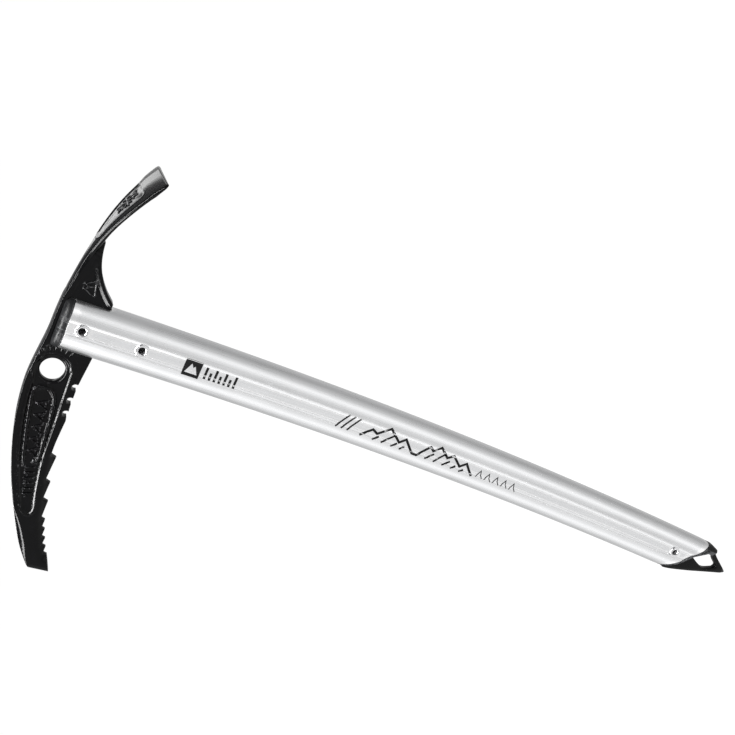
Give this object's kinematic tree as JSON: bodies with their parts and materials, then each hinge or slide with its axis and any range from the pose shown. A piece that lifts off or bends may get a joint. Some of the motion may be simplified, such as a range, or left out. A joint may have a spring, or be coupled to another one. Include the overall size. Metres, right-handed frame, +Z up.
{
  "type": "ice axe",
  "caption": "Walking ice axe with a forged pick-and-adze head, a carabiner hole, a bowed oval metal shaft and a flat windowed spike.",
  "frame": {"origin": "bottom centre of the bounding box, at the height of the spike's point", "axes": "+Z up along the shaft's head end, from spike to head; +X towards the adze, -X towards the pick; Y across the thickness"},
  "size_m": [0.251, 0.055, 0.5301],
  "materials": {
    "black_forging": "glossy black paint over forged steel",
    "shaft_aluminium": "satin clear anodised, drawn along the tube",
    "grey_moulding": "matt moulded, slightly mottled",
    "rivet_steel": "bright turned steel",
    "black_spike": "black paint over cut steel plate"
  },
  "bodies": {
    "root": {"forged_head": "black_forging", "shaft_tube": "shaft_aluminium", "tang_packing_left": "grey_moulding", "tang_packing_right": "grey_moulding", "head_rivet_upper": "rivet_steel", "head_rivet_lower": "rivet_steel", "spike": "black_spike", "spike_plug": "grey_moulding", "spike_rivet": "rivet_steel"}
  },
  "joints": []
}
